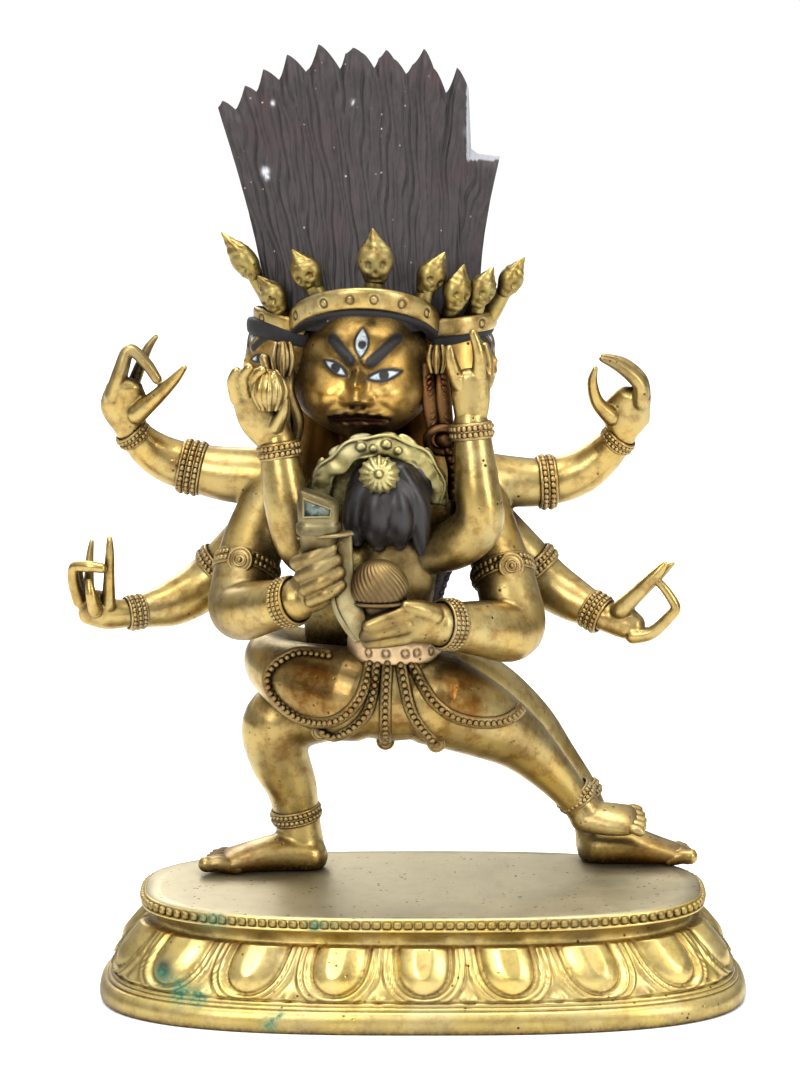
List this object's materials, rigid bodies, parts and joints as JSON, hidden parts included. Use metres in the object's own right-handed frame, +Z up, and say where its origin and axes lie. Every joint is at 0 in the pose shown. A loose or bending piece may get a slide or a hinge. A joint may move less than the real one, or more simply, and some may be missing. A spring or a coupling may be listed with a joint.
{
  "type": "figure of a deity on a lotus base",
  "caption": "Gilt bronze wrathful deity with many arms and a fan of flaming hair, embracing a consort, striding on an oval lotus base.",
  "frame": {"origin": "centre of the base's underside, on the surface it stands on", "axes": "+Z up, -Y towards the viewer at the front, +X to the viewer's right"},
  "size_m": [0.1273, 0.0627, 0.1764],
  "materials": {
    "gilt_base": "worn mercury gilding over bronze, brown in the recesses, some green corrosion",
    "gilt_bronze": "burnished mercury gilding over bronze; the hair painted dark plum, the eyes and brows painted",
    "gilt_consort": "burnished mercury gilding over bronze; the hair painted near black"
  },
  "bodies": {
    "root": {"lotus_base": "gilt_base", "deity": "gilt_bronze", "consort": "gilt_consort"}
  },
  "joints": []
}
